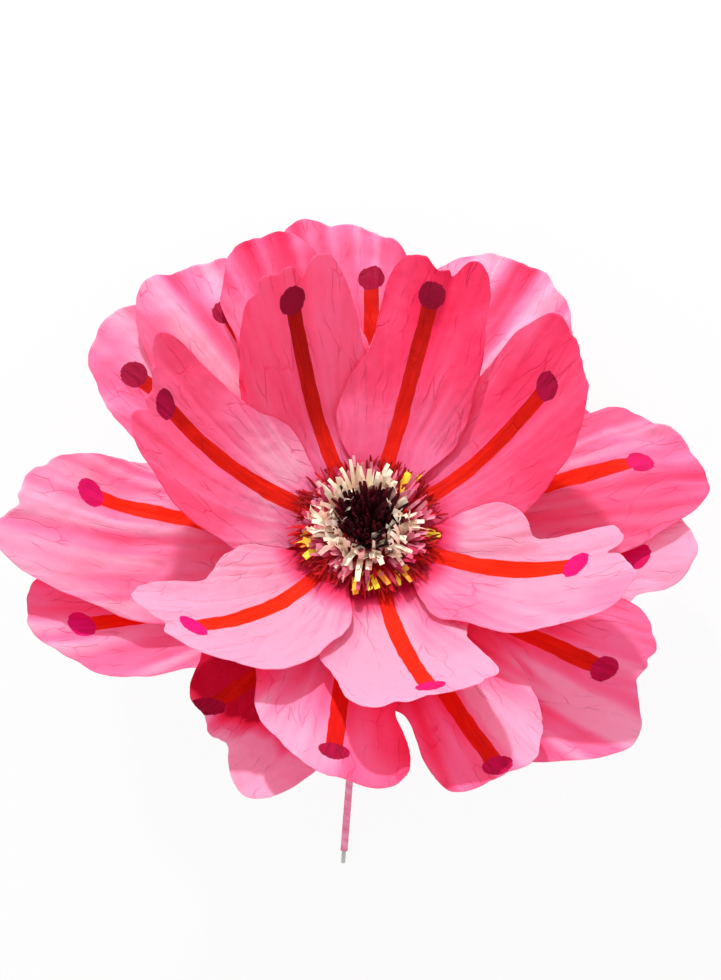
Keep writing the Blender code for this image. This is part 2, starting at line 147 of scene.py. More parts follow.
# %% [markdown]
# Colours are written as hex values, the way a paint chart gives them. Blender's shaders work in linear
# light, so one function turns every hex value into a linear colour. A second function adds any shader
# node together with its settings and links and gives back its output, which keeps each material short
# enough to read.


# %% Colour and node helpers
def paint(hex_value):
    """A linear RGBA colour from a hex value such as #FFB4D8."""
    channels = [int(hex_value[k : k + 2], 16) / 255 for k in (1, 3, 5)]
    linear = [c / 12.92 if c <= 0.04045 else ((c + 0.055) / 1.055) ** 2.4 for c in channels]
    return (*linear, 1)


def add_node(material, kind, inputs=(), out=0, steps=(), **settings):
    """One shader node from values or sockets, settings and a ramp's colours. Gives one of its outputs."""
    tree = material.node_tree
    node = tree.nodes.new("ShaderNode" + kind)
    for name, value in settings.items():
        setattr(node, name, value)
    for key, value in inputs.items() if isinstance(inputs, dict) else enumerate(inputs):
        if isinstance(value, bpy.types.NodeSocket):
            tree.links.new(value, node.inputs[key])
        else:
            node.inputs[key].default_value = value
    for k, (place, colour) in enumerate(steps):
        ramp = node.color_ramp.elements
        step = ramp[k] if k < 2 else ramp.new(place)
        step.position = place
        step.color = paint(colour)
    return node.outputs[out] if len(node.outputs) else node


def new_material(name):
    """An empty material and the function that adds a node to it."""
    material = bpy.data.materials.new(name)
    material.use_nodes = True
    material.node_tree.nodes.clear()
    return material, partial(add_node, material)


# %% [markdown]
# The floor is a plain white sheet and the light is that of a small studio: one lamp above the flower's
# head, low enough to shine through the petals that stand up and small enough for clear shadows, and even
# light from all round. The lamp's power follows from its distance, so that white paper facing it renders
# as white. The floor glows a little towards the camera alone, which keeps it white and leaves the shadow
# on it.

# %% Floor, lamp and world
LAMP_DISTANCE = 3000 * MM
LAMP_SIZE = 170 * MM
LAMP_SHARE = 0.86
LAMP_ACROSS, LAMP_RISE = -0.14, math.radians(17)
WORLD_SHARE = 0.8
FLOOR_GLOW = 0.9
FLOOR_SIDE = 12.0


def rays_that_see_white(add):
    """1 for rays from the camera, a mirror or glass, and 0 for the light that falls on the flower."""
    kinds = ("Is Camera Ray", "Is Glossy Ray", "Is Transmission Ray")
    direct, glossy, glass = (add("LightPath", out=kind) for kind in kinds)
    seen = add("Math", (direct, glossy), operation="ADD")
    return add("Math", (seen, glass), operation="ADD", use_clamp=True)


def build_floor():
    material, add = new_material("white_floor")
    matt = add("BsdfDiffuse", {"Color": paint("#F4F4F4")})
    glow = add("Emission", {"Color": paint("#FFFFFF"), "Strength": 1.0})
    share = add("Math", (rays_that_see_white(add), FLOOR_GLOW), operation="MULTIPLY")
    add("OutputMaterial", (add("MixShader", (share, matt, glow)),))
    mesh = bpy.data.meshes.new("floor")
    half = FLOOR_SIDE / 2
    corners = [(-half, -half, 0), (half, -half, 0), (half, half, 0), (-half, half, 0)]
    mesh.from_pydata(corners, [], [(0, 1, 2, 3)])
    mesh.materials.append(material)
    new_object("floor", mesh)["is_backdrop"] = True


def build_lamp():
    towards = in_view(LAMP_ACROSS, math.cos(LAMP_RISE), math.sin(LAMP_RISE)).normalized()
    lamp = bpy.data.lights.new("key_lamp", "AREA")
    lamp.shape = "DISK"
    lamp.size = LAMP_SIZE
    lamp.energy = LAMP_SHARE * math.pi**2 * LAMP_DISTANCE**2
    holder = new_object("key_lamp", lamp)
    holder.location = FLOWER.translation + towards * LAMP_DISTANCE
    holder.rotation_euler = towards.to_track_quat("Z", "Y").to_euler()
    print("lamp", round(lamp.energy), "W at", round(holder.location.z, 2), "m")


def build_world():
    world = bpy.data.worlds.new("studio")
    bpy.context.scene.world = world
    world.use_nodes = True
    world.node_tree.nodes.clear()
    add = partial(add_node, world)
    around = add("Background", {"Color": paint("#FFFFFF"), "Strength": WORLD_SHARE})
    seen = add("Background", {"Color": paint("#FFFFFF"), "Strength": 1.0})
    mixed = add("MixShader", (rays_that_see_white(add), around, seen))
    add("OutputWorld", (mixed,))


build_floor()
build_lamp()
build_world()
bpy.context.scene.view_settings.view_transform = "Standard"

# %% [markdown]
# Each petal is one sheet of stiff paper, cut to a rounded square with a narrow claw at the hub. The same
# few numbers describe it here as in the solid: where it points, how long and wide it is, how it rises,
# and how its rim is cut. The solid has few faces, and the sheet made here from the same formula has
# thousands.

# %% The petals' sizes
HUB_RADIUS = 18 * MM
GLUE_GAP = 0.3 * MM
PETAL_START = HUB_RADIUS + GLUE_GAP
LAYER_PITCH = 4.0 * MM
INNER_BASE = 9 * MM
CLAW_SHARE = 0.22
INNER_CLAW = 85 * MM
OUTER_CLAW = 130 * MM
SQUARENESS = 2.4
RIM_ANGLES = (20, 55, 90, 125, 160)
RIM_SPREAD = 20

# Direction, reach from the axis, width, slope at the base and at the tip, sideways bow of the tip, rise
# of the sides, distance of the dot, and five pushes of the rim from its right side round the tip to its
# left. Lengths are in millimetres and angles in degrees. The order is the order in which the petals are
# laid.
OUTER_PETALS = {
    "outer_a": (145, 329, 158, 7, 10, 0, 12, 279, (0, 18, 2, -20, -20)),
    "outer_d": (88, 330, 196, 6, 4, 7, 12, 278, (0, -20, 4, 32, 12)),
    "outer_f": (34, 250, 160, 0, 12, 0, 12, 215, (0, 0, 0, 0, 0)),
    "outer_h": (-10, 306, 169, -8, 28, 4, 12, 256, (-12, -34, 2, 2, 0)),
    "outer_n": (-154, 317, 159, -10, 37, -18, 12, 283, (0, 8, 8, 0, -14)),
    "outer_l": (-115, 286, 166, -12, 36, -28, 12, 262, (-8, -34, -34, 30, 0)),
    "outer_i": (-36, 310, 192, -18, 38, 15, 12, 261, (34, 36, -19, -10, -22)),
    "outer_b": (122, 329, 190, 4, 12, 0, 12, 272, (4, 4, -3, 18, 0)),
    "outer_e": (60, 331, 192, 5, 5, -2, 12, 270, (-2, -4, 7, 1, 0)),
    "outer_g": (15, 321, 176, -7, 18, 5, 12, 269, (10, 22, 0, -14, -34)),
    "outer_j": (-68, 299, 140, -1, 42, 8, 12, 281, (-24, 10, -7, 0, 0)),
    "outer_k": (-100, 283, 158, 4, 47, 19, 12, 249, (0, -10, -5, 18, -26)),
    "outer_m": (182, 318, 177, -8, 42, -17, 12, 268, (-26, -14, -3, 36, 18)),
    "outer_c": (112, 330, 144, 6, 4, 0, 12, 276, (0, 9, -4, -14, -22)),
}
INNER_PETALS = {
    "inner_1": (118, 223, 150, 2, 54, -34, 12, 203, (-10, 5, 0, 4, -10)),
    "inner_3": (27, 230, 142, 4, 54, 24, 12, 197, (5, -2, -2, 9, -10)),
    "inner_5": (-78, 213, 150, -4, 57, 13, 10, 203, (0, 28, 6, 17, -18)),
    "inner_7": (163, 222, 128, -8, 58, -28, 12, 202, (-6, 18, -10, 12, 12)),
    "inner_2": (73, 257, 126, 11, 40, 3, 12, 221, (2, 10, -15, 1, -20)),
    "inner_4": (-26, 242, 126, -4, 52, 36, 12, 199, (18, 34, -9, -8, -32)),
    "inner_6": (-133, 227, 134, -4, 55, -26, 12, 203, (-14, 12, 2, 2, 12)),
}
print("petals:", len(OUTER_PETALS), "outer and", len(INNER_PETALS), "inner")

# %% [markdown]
# Real paper is never smooth. It has soft hills where it was bent by hand, long pleats that run out from
# the hub, and small flat facets with sharp edges where it was crumpled. All three come from random
# numbers on a lattice. Blending them smoothly makes hills, and blending them in straight lines over
# triangles makes facets.


# %% Hills and facets
LATTICE = 64


def lattice_values(seed):
    """The same random numbers from -1 to 1 each time, on a square lattice."""
    return np.random.default_rng(seed).uniform(-1, 1, (LATTICE, LATTICE))


def ease(share):
    """A share from 0 to 1 that starts and ends slowly."""
    return share * share * (3 - 2 * share)


def four_around(values, i, j):
    """The four values round a cell of a lattice that repeats itself past its edges."""
    rows, columns = values.shape
    i, after = i % rows, (i + 1) % rows
    j, above = j % columns, (j + 1) % columns
    return values[i, j], values[after, j], values[i, above], values[after, above]


def blend(values, i, j, s, t):
    """A value between the four round a cell."""
    corner, right, upper, far = four_around(values, i, j)
    near = corner * (1 - s) + right * s
    return near * (1 - t) + (upper * (1 - s) + far * s) * t


def hills(across, along, size_across, size_along, seed):
    """Smooth random hills of a given size in millimetres."""
    values = lattice_values(seed)
    u, v = across / size_across, along / size_along
    i, j = np.floor(u).astype(int), np.floor(v).astype(int)
    return blend(values, i, j, ease(u - i), ease(v - j))


def facets(across, along, size, seed):
    """Flat triangular facets of about a given size in millimetres, with sharp edges between them."""
    values = lattice_values(seed)
    warp = 0.9 * size
    u = (across + warp * hills(across, along, 2 * size, 2 * size, seed + 1)) / size
    v = (along + warp * hills(across, along, 2 * size, 2 * size, seed + 2)) / size
    i, j = np.floor(u).astype(int), np.floor(v).astype(int)
    s, t = u - i, v - j
    corner, right, upper, far = four_around(values, i, j)
    lower_half = corner + s * (right - corner) + t * (far - right)
    upper_half = corner + t * (upper - corner) + s * (far - upper)
    return np.where(s > t, lower_half, upper_half)


def groove(across, along, size_across, size_along, seed, width=0.16):
    """1 on long wandering lines and 0 away from them, with straight sides like a crease in paper."""
    return np.clip(1 - np.abs(hills(across, along, size_across, size_along, seed)) / width, 0, 1)


# %% [markdown]
# Some petals have a fold that can be seen from far off: a long pleat that starts at the hub and ends at
# the rim. Each is given by how far it lies from the painted stripe at the tip, how wide it is and how far
# it stands up or sinks in, and by the painted shade that darkens some folds and the painted highlight that
# lightens others. Each petal also has a tone at its claw, at its tip and at its two sides, from 0 for the
# palest pink to 1 for crimson. The tones hold the paper's own colour together with painted shade where
# other petals shadow it and painted light where light shines through the petals that stand up.

# %% Folds and tones, with painted shade and light
# Offset at the tip, half width and height of each fold, in millimetres, and what it adds to the tone
# as painted shade along the fold, or as painted highlight where it is below 0. A positive offset is to the
# petal's left.
FOLDS = {
    "outer_a": [(42, 16, 4, 0.08), (-20, 20, 3, -0.1)],
    "outer_b": [(24, 15, -7, 0.2), (50, 16, 3, -0.2), (-4, 13, 4, -0.2)],
    "outer_c": [(34, 14, 4, -0.2)],
    "outer_d": [(-8, 11, 8, -0.28), (40, 16, -5, 0.1)],
    "outer_e": [(46, 16, 3, -0.34), (-32, 12, 8, -0.3), (4, 20, -5, 0.14)],
    "outer_g": [(30, 10, 3, -0.06), (-50, 13, -7, 0.16)],
    "outer_h": [(10, 18, 4, -0.05)],
    "outer_i": [(-48, 16, 9, -0.3), (30, 18, -6, 0.08)],
    "outer_j": [(36, 15, 6, -0.3)],
    "outer_k": [(30, 16, -6, 0.15), (-28, 16, 6, -0.15)],
    "outer_l": [(-10, 18, -8, 0.1), (26, 16, 7, -0.1)],
    "outer_m": [(36, 12, -6, 0.2), (10, 14, 4, -0.08), (-36, 14, -4, 0.05)],
    "outer_n": [(24, 14, 4, -0.08), (-24, 12, -3, 0.08)],
    "inner_4": [(24, 20, 3, -0.05)],
    "inner_6": [(-22, 16, 3, -0.05)],
}
# Notches in the rim: the angle round the blade, where 90 is the tip, and the depth in millimetres.
NOTCHES = {
    "inner_1": [(78, 9), (118, 5)],
    "inner_2": [(72, 12)],
    "inner_4": [(98, 13), (60, 5)],
    "inner_5": [(66, 8), (120, 6)],
    "inner_6": [(84, 6)],
    "inner_7": [(108, 8), (72, 5)],
    "outer_b": [(64, 8)],
    "outer_d": [(84, 7), (112, 4)],
    "outer_e": [(70, 6)],
    "outer_i": [(108, 6), (52, 5)],
    "outer_m": [(104, 7), (66, 4)],
    "outer_n": [(120, 5)],
}
# Tone at the claw and at the tip of each petal, and what its right and its left side add. These tones are
# partly the paper's own colour and partly painted light: painted shade where other petals shadow a petal,
# and a deeper coral painted for the light that shines through the upright inner petals from behind. A tone
# under 0 or over 1 shows as the nearest end of the range, so it only moves the place where the colour
# starts to change. Then how deep the stripe and the dot are painted, which is painted shade as well, darker
# on the shaded and backlit petals; how many millimetres they leave the middle line at the tip, and how many
# the dot lies nearer to the hub. Petal outer_e shows no dot, so its own lies out of sight under the next
# petal.
PAINT_AND_PAINTED_LIGHT = {
    "inner_1": (0.36, 0.40, 0.05, 0.08, 1.05, 0, 0),
    "inner_2": (0.36, 0.72, 0.04, 0.04, 1.00, 0, 0),
    "inner_3": (0.30, 0.54, 0.04, -0.04, 0.78, 0, 0),
    "inner_4": (0.12, 0.00, 0.16, 0.00, 0.20, 0, 0),
    "inner_5": (0.10, 0.00, 0.00, 0.00, 0.30, 0, 0),
    "inner_6": (0.08, -0.20, 0.04, 0.00, 0.14, 0, 0),
    "inner_7": (-0.08, 0.42, 0.08, 0.10, 0.74, 0, 0),
    "outer_a": (0.50, 0.18, 0.00, 0.06, 0.85, 0, 0),
    "outer_b": (0.45, 0.24, 0.06, 0.00, 0.90, 0, 8),
    "outer_c": (0.65, 0.62, -0.10, 0.05, 1.00, 0, 20),
    "outer_d": (0.55, 0.32, 0.14, 0.04, 0.85, 0, 0),
    "outer_e": (0.26, 0.22, 0.06, -0.02, 0.80, 0, 80),
    "outer_f": (0.50, 0.50, 0.00, 0.00, 0.60, 0, 0),
    "outer_g": (0.50, 0.22, 0.10, 0.00, 0.42, -16, 0),
    "outer_h": (0.00, -0.35, 0.00, 0.00, 0.36, 15, 0),
    "outer_i": (1.00, 0.24, 0.06, 0.04, 0.62, 0, 0),
    "outer_j": (1.40, 0.24, 0.14, -0.30, 0.56, 0, 0),
    "outer_k": (0.80, 0.16, -0.05, 0.60, 0.80, 0, 0),
    "outer_l": (14.00, -0.10, 0.00, 0.00, 0.90, -64, 36),
    "outer_m": (0.55, 0.08, -0.04, 0.06, 0.36, -28, 9),
    "outer_n": (0.40, 0.16, 0.00, 0.00, 0.28, 0, 0),
}

# %% [markdown]
# One class holds all that is known of a petal. Its plan turns a square grid into the rounded outline, and
# its height gives the rise of the sheet at every point of that plan, with the hills, facets and folds on
# top. They fade out towards the hub, where many layers of paper lie glued on each other.

# %% The petal as a formula
# Heights and sizes in millimetres. Pleats and grooves are long and run out from the hub.
HILL_RISE, HILL_SIZE = 2.4, (46, 70)
PLEAT_RISE, PLEAT_SIZE = 1.2, (13, 110)
GROOVE_DEPTH, GROOVE_SIZE = 1.5, (24, 130)
FACET_RISE, FACET_SIZE = 1.5, 27
SMALL_FACET_RISE, SMALL_FACET_SIZE = 0.55, 12
RUFFLE_RISE, RUFFLE_SIZE, RUFFLE_START = 3.0, 24, 0.62
RAGGED_WAVES = ((7, 1.3), (13, 0.8), (23, 0.35), (41, 0.2))
NOTCH_SPREAD = 5
# Pleats fan out, but no narrower towards the hub than at this share of the length.
LEAST_FAN = 0.3
# The sheet is flat near the hub, calm over its wire, and takes these shares of the room above and below
# it.
FLAT_SHARE, FADE_SHARE = 0.12, 0.3
WIRE_CALM, WIRE_BAND = 0.35, 14
SHARE_UP, SHARE_DOWN, LEAST_WAVE = 0.2, 0.42, 0.2 * MM


class Petal:
    """One petal as a height over the flower's plan: rho runs out along it, tau across it to its left."""

    def __init__(self, name, row, base, claw, seed):
        direction, reach, width, slope, tip_slope, bow, cup, dot, rim = row
        self.name, self.base, self.claw, self.seed = name, base, claw, seed
        self.direction = math.radians(direction)
        self.slope, self.tip_slope = (math.tan(math.radians(angle)) for angle in (slope, tip_slope))
        self.reach, self.half_width = reach * MM, width * MM / 2
        self.bow, self.cup, self.dot = bow * MM, cup * MM, dot * MM
        self.rim = [push * MM for push in rim]
        self.phases = np.random.default_rng(seed).uniform(0, 2 * math.pi, len(RAGGED_WAVES))
        self.notches = NOTCHES.get(name, [])
        self.half_length = (self.reach - PETAL_START) / 2
        self.middle = (self.reach + PETAL_START) / 2
        self.lift = self.room_above = self.room_below = None

    def taper(self, along):
        """Share of the full width: a narrow claw at the hub that opens to the whole width."""
        opened = np.clip((along + 1) * self.half_length / self.claw, 0, 1)
        return CLAW_SHARE + (1 - CLAW_SHARE) * ease(opened)

    def rim_push(self, turn):
        """How far the rim stands out or in at an angle round the blade, where 90 degrees is the tip."""
        pushed = np.zeros_like(turn)
        bumps = [(angle, push, RIM_SPREAD) for angle, push in zip(RIM_ANGLES, self.rim)]
        bumps += [(angle, -depth * MM, NOTCH_SPREAD) for angle, depth in self.notches]
        for angle, push, spread in bumps:
            away = (turn - math.radians(angle) + math.pi) % (2 * math.pi) - math.pi
            pushed += push * np.exp(-((away / math.radians(spread)) ** 2))
        for (count, size), phase in zip(RAGGED_WAVES, self.phases):
            pushed += size * MM * np.sin(count * turn + phase)
        return pushed

    def plan(self, across, along):
        """Point of the blade in plan for a point of the square grid from -1 to 1 each way."""
        disc_x = across * np.sqrt(1 - along**2 / 2)
        disc_y = along * np.sqrt(1 - across**2 / 2)
        turn = np.arctan2(disc_y, disc_x)
        share = np.hypot(disc_x, disc_y)
        disc_x, disc_y = disc_x * square_round(turn), disc_y * square_round(turn)
        push = self.rim_push(turn) * share**2
        rho = self.middle + self.half_length * disc_y + push * np.sin(turn)
        tau = -(disc_x * self.taper(disc_y) * self.half_width + push * np.cos(turn))
        return rho, tau + self.side(rho)

    def side(self, rho):
        return self.bow * self.length_share(rho) ** 2

    def length_share(self, rho):
        return (rho - PETAL_START) / (self.reach - PETAL_START)

    def place(self, rho, tau):
        cos, sin = math.cos(self.direction), math.sin(self.direction)
        return rho * cos - tau * sin, rho * sin + tau * cos

    def own_frame(self, x, y):
        cos, sin = math.cos(self.direction), math.sin(self.direction)
        return x * cos + y * sin, y * cos - x * sin

    def relief(self, rho, tau):
        """Hills, pleats, facets and folds of the sheet, only as high as there is room for them."""
        share = np.clip(self.length_share(rho), 0, 1.2)
        across = (tau - self.side(rho)) / MM
        along = rho / MM
        fan = across / np.maximum(share, LEAST_FAN)
        soft = HILL_RISE * hills(across, along, *HILL_SIZE, self.seed) * share
        pleats = PLEAT_RISE * hills(fan, along, *PLEAT_SIZE, self.seed + 5) * share
        pleats -= GROOVE_DEPTH * groove(fan, along, *GROOVE_SIZE, self.seed + 3)
        crumple = FACET_RISE * facets(across, along, FACET_SIZE, self.seed + 9)
        crumple += SMALL_FACET_RISE * facets(across, along, SMALL_FACET_SIZE, self.seed + 13)
        ruffle = np.clip(self.blade_share(rho, tau) - RUFFLE_START, 0, 0.5) / (1 - RUFFLE_START)
        soft += RUFFLE_RISE * ruffle**2 * hills(across, along, RUFFLE_SIZE, RUFFLE_SIZE, self.seed + 17)
        folded = np.zeros_like(share)
        for offset, half_width, rise, _ in FOLDS.get(self.name, []):
            away = np.abs(across - offset * share) / half_width
            folded += rise * share**1.5 * np.clip(1 - away, 0, 1)
        fade = np.clip((share - FLAT_SHARE) / FADE_SHARE, 0, 1)
        waves = (soft + pleats + crumple + folded) * fade * MM
        x, y = self.place(rho, tau)
        on_wire = WIRE_CALM + (1 - WIRE_CALM) * np.clip(np.abs(across) / WIRE_BAND, 0, 1)
        up = np.maximum(read_map(self.room_above, x, y) * SHARE_UP, LEAST_WAVE)
        down = np.maximum(read_map(self.room_below, x, y) * SHARE_DOWN * on_wire, LEAST_WAVE)
        return np.where(waves > 0, up * np.tanh(waves / up), down * np.tanh(waves / down))

    def free_height(self, rho, tau):
        """Height with nothing under it: a slope that changes evenly along the petal, and raised sides."""
        share = self.length_share(rho)
        length = self.reach - PETAL_START
        along = length * (self.slope * share + (self.tip_slope - self.slope) * share**2 / 2)
        side = (tau - self.side(rho)) / self.half_width
        cupped = self.cup * side**2 * np.clip(1.5 * share, 0, 1)
        return self.base + along + cupped

    def blade_share(self, rho, tau):
        """0 at the middle of the blade and 1 at its rim."""
        disc_y = (rho - self.middle) / self.half_length
        disc_x = -(tau - self.side(rho)) / (self.half_width * self.taper(disc_y))
        turn = np.arctan2(disc_y, disc_x)
        return np.hypot(disc_x, disc_y) / square_round(turn) - self.rim_push(turn) / self.half_width

    def height(self, rho, tau):
        lifted = self.free_height(rho, tau) + read_map(self.lift, *self.place(rho, tau))
        return lifted + self.relief(rho, tau)


def square_round(turn):
    """Radius of a rounded square, between a circle and a square, at an angle round it."""
    power = SQUARENESS
    return (np.abs(np.cos(turn)) ** power + np.abs(np.sin(turn)) ** power) ** (-1 / power)


# %% [markdown]
# The petals lie on each other like cards in a fan. A cloth simulation could drop them one by one, but
# paper is stiff and the pile would slide. So the pile is worked out as a map of heights: each petal is
# lifted wherever the map is higher than the petal, the lift is softened, and the map then takes in the
# new petal. A last pass asks how much room each petal has above and below it, and its folds and hills
# stay within that.

# %% Lay the petals on each other
MAP_STEP = 4 * MM
MAP_HALF = 105
MAP_LINE = np.arange(-MAP_HALF, MAP_HALF + 1) * MAP_STEP
MAP_X, MAP_Y = np.meshgrid(MAP_LINE, MAP_LINE, indexing="ij")
EDGE_MARGIN = 0.16
SPREAD_CELLS = 5
ROOM_CELLS, ROOM_BLUR = 3, 2
NOTHING = -1.0
OPEN_ROOM = 40 * MM


def read_map(values, x, y):
    """Value of a map at any points, by blending its four nearest cells."""
    column = np.clip(x / MAP_STEP + MAP_HALF, 0, 2 * MAP_HALF - 1e-6)
    row = np.clip(y / MAP_STEP + MAP_HALF, 0, 2 * MAP_HALF - 1e-6)
    i, j = column.astype(int), row.astype(int)
    return blend(values, i, j, column - i, row - j)


def over_neighbours(values, combine, reach):
    """Each cell of a map combined with those around it, both ways."""
    for axis in (0, 1):
        values = combine([np.roll(values, step, axis) for step in range(-reach, reach + 1)], axis=0)
    return values


def spread_and_soften(values):
    """Widen what is lifted by a few cells, then blur it by as many, so that it stays high enough."""
    return over_neighbours(over_neighbours(values, np.max, SPREAD_CELLS), np.mean, SPREAD_CELLS)


def least_room(gaps):
    """The smallest of some gaps at each cell and its neighbours, softened."""
    least = np.clip(np.min([np.full(MAP_X.shape, OPEN_ROOM), *gaps], axis=0), 0, OPEN_ROOM)
    return over_neighbours(over_neighbours(least, np.min, ROOM_CELLS), np.mean, ROOM_BLUR)


def lay_petals():
    """All petals in the order in which they are laid, each lifted clear of what is already there."""
    laid, heights = [], []
    pile = np.full(MAP_X.shape, NOTHING)
    for rows, base, claw in ((OUTER_PETALS, 0, OUTER_CLAW), (INNER_PETALS, INNER_BASE, INNER_CLAW)):
        for name, row in rows.items():
            petal = Petal(name, row, base, claw, seed=100 * (len(laid) + 1))
            rho, tau = petal.own_frame(MAP_X, MAP_Y)
            free = petal.free_height(rho, tau)
            zone = (petal.blade_share(rho, tau) < 1 + EDGE_MARGIN) & (rho > PETAL_START - MAP_STEP)
            needed = np.where(zone & (pile > NOTHING), np.maximum(pile + LAYER_PITCH - free, 0), 0)
            petal.lift = spread_and_soften(needed)
            pile = np.where(zone, np.maximum(pile, free + petal.lift), pile)
            laid.append(petal)
            heights.append((free + petal.lift, zone))
    for k, petal in enumerate(laid):
        own = heights[k][0]
        over = [np.where(zone, height - own, OPEN_ROOM) for height, zone in heights[k + 1 :]]
        under = [np.where(zone, own - height, OPEN_ROOM) for height, zone in heights[:k]]
        petal.room_above = least_room(over)
        petal.room_below = least_room(under)
    print("the pile is", round(float(pile.max() / MM)), "mm high at its highest point")
    return laid


PETALS = lay_petals()

# %% [markdown]
# A sheet is a grid of points with a second grid a paper's thickness below it, joined round the rim. Three
# numbers travel with every point for the paint: how far it lies from the painted stripe, how far from the
# dot's middle, and how deep the paint is, which also holds painted shade. The tone of the paper goes with
# them, with painted shade and painted light in it, and so does the point's place on the flat sheet in
# millimetres, which the paper's fine pattern follows when the sheet bends.

# %% Turn a petal into a sheet
SHEET_THICKNESS = 0.45 * MM
GRID_ACROSS = 80
GRID_ALONG = 108
FLOOR_CLEARANCE = 0.3 * MM
STRIPE_HALF = 7.7
# Depth and size of the clouds in the paper's wash, and of the streaks that run out from the hub.
CLOUDS = ((0.12, (38, 60)), (0.06, (15, 26)))
STREAK_DEPTH, STREAK = 0.048, (7, 120)
# Painted shade in the pleats' hollows and painted highlight on their ridges, and the share of the stripe's
# depth at the hub.
PAINTED_PLEAT_SHADE, DEPTH_AT_HUB = 0.2, 0.3
# Shares of the length between which the claw's tone turns into the tip's and a fold's painted shade and
# highlight come in, and how many half widths from the middle of a fold that painted tone ends.
WASH_FROM, WASH_TO = 0.08, 0.88
FOLD_FROM, FOLD_TO, FOLD_REACH = 0.32, 0.72, 1.4
SHEET_SPACING = 3.1
SPINE_PAST_TIP, SPINE_STEPS = 1.15, 200
# The fringe's painted red shadow on the petals below it: where it ends, over how far it fades in, and how
# much it deepens the stripe and the dot.
FRINGE_SHADOW_END, FRINGE_SHADOW_FADE = 98 * MM, 34 * MM
FRINGE_SHADOW_ON_PAINT = 0.8


def grid_normals(points):
    """Upward unit normals of a grid of points."""
    normals = np.cross(np.gradient(points, axis=1), np.gradient(points, axis=0))
    normals *= np.sign(normals[..., 2:3])
    return normals / np.linalg.norm(normals, axis=-1, keepdims=True)


def sheet_faces(rows, columns):
    """Faces of a closed sheet: the top, the underside and the rim, with the material number of each."""
    index = np.arange(rows * columns).reshape(rows, columns)
    top = np.stack([index[:-1, :-1], index[:-1, 1:], index[1:, 1:], index[1:, :-1]], axis=-1).reshape(-1, 4)
    under = top[:, ::-1] + rows * columns
    border = np.concatenate([index[0, :-1], index[:-1, -1], index[-1, :0:-1], index[:0:-1, 0]])
    after = np.roll(border, -1)
    rim = np.stack([after, border, border + rows * columns, after + rows * columns], axis=-1)
    kinds = np.concatenate([np.zeros(len(top)), np.ones(len(under)), np.zeros(len(rim))])
    return np.concatenate([top, under, rim]), kinds.astype(np.int32)


def new_piece(name, points, faces, materials, replaced, lowest=FLOOR_CLEARANCE):
    """A piece of the flower from points in its own frame, which rides on the one body there is."""
    room = to_room(np.asarray(points))
    room[:, 2] = np.maximum(room[:, 2], lowest)
    mesh = bpy.data.meshes.new(name)
    mesh.from_pydata(room.tolist(), [], faces.tolist() if hasattr(faces, "tolist") else faces)
    mesh.shade_smooth()
    for material in materials:
        mesh.materials.append(material)
    piece = new_object(name, mesh)
    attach(piece, "root")
    for node in replaced:
        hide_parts(node)
    return piece


def give_numbers(piece, name, values):
    """Numbers or vectors for every point of a piece, which its material reads by name."""
    values = np.asarray(values, dtype=np.float32)
    kind, field = ("FLOAT", "value") if values.ndim == 1 else ("FLOAT_VECTOR", "vector")
    piece.data.attributes.new(name, kind, "POINT").data.foreach_set(field, values.ravel())


def distances(line):
    """How far each point of a broken line is from its start, along the line."""
    return np.concatenate([[0], np.cumsum(np.linalg.norm(np.diff(line, axis=0), axis=1))])


def spine_length(petal, rho):
    """Length along the bent sheet from the hub out to a distance from the axis, in millimetres."""
    line = np.linspace(PETAL_START, petal.reach * SPINE_PAST_TIP, SPINE_STEPS)
    spine = np.stack([line, petal.free_height(line, petal.side(line))], axis=-1)
    return np.interp(rho, line, distances(spine)) / MM


def tone_and_painted_light_of(petal, rho, tau, share, side):
    """How deep the colour is at each point: clouds, painted shade and light, and the fringe's painted red
    shadow.
    """
    # Claw, tip and side tones: the paper's own colour with painted shade and painted light through the
    # petal.
    claw, tip, right, left = PAINT_AND_PAINTED_LIGHT[petal.name][:4]
    eased = ease(np.clip((share - WASH_FROM) / (WASH_TO - WASH_FROM), 0, 1))
    wash = claw + (tip - claw) * eased + right * np.clip(-side, 0, 1) + left * np.clip(side, 0, 1)
    across, along = tau / MM, rho / MM
    from_spine = side * petal.half_width / MM
    fan = from_spine / np.maximum(share, LEAST_FAN)
    for k, (depth, size) in enumerate(CLOUDS):
        wash += depth * hills(across, along, *size, petal.seed + 21 + k)
    wash += STREAK_DEPTH * hills(fan, along, *STREAK, petal.seed + 23)
    # The pleats are painted darker in their hollows and paler on their ridges: painted shade and highlight.
    pleat_shade = PAINTED_PLEAT_SHADE if petal.name.startswith("outer") else PAINTED_PLEAT_SHADE / 3
    wash -= pleat_shade * hills(fan, along, *PLEAT_SIZE, petal.seed + 5)
    # Painted shade and painted highlight along the folds.
    for offset, half_width, _, deeper in FOLDS.get(petal.name, []):
        away = np.abs(from_spine - offset * share) / half_width
        come_in = np.clip((share - FOLD_FROM) / (FOLD_TO - FOLD_FROM), 0, 1)
        wash += deeper * np.clip(FOLD_REACH - away, 0, 1) * come_in
    # The fringe's painted red shadow, on the petals below it and close to the hub.
    below = 0.5 - 0.5 * math.sin(petal.direction)
    near = np.clip((FRINGE_SHADOW_END - np.hypot(rho, tau)) / FRINGE_SHADOW_FADE, 0, 1)
    red = below * ease(near)
    return wash + red, red


